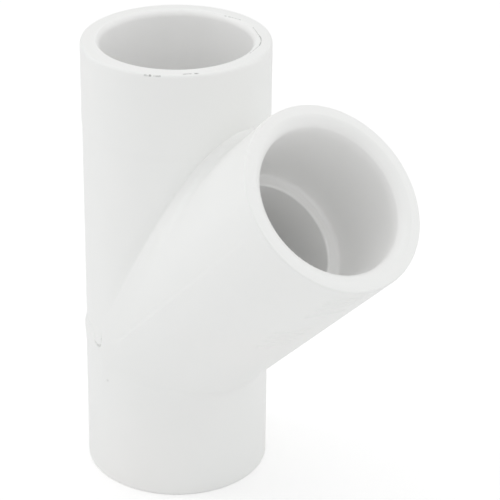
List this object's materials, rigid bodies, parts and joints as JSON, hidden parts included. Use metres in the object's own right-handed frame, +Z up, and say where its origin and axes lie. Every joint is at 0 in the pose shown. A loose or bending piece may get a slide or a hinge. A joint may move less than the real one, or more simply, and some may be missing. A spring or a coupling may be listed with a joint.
{
  "type": "lateral wye fitting",
  "caption": "White moulded plastic pipe wye: a straight run with a 45 degree side branch, and a plain push-in socket for glued pipe at each of its three ends.",
  "frame": {"origin": "centre of the foot socket's end face, on the run's axis", "axes": "+Z up the run from the foot socket to the head socket, +X towards the side the branch leaves from, with the branch's axis in the XZ plane at 45 degrees to +Z"},
  "size_m": [0.0857, 0.0432, 0.105],
  "materials": {
    "white_pvc": "semi-gloss moulded"
  },
  "bodies": {
    "root": {"wye_body": "white_pvc"}
  },
  "joints": []
}
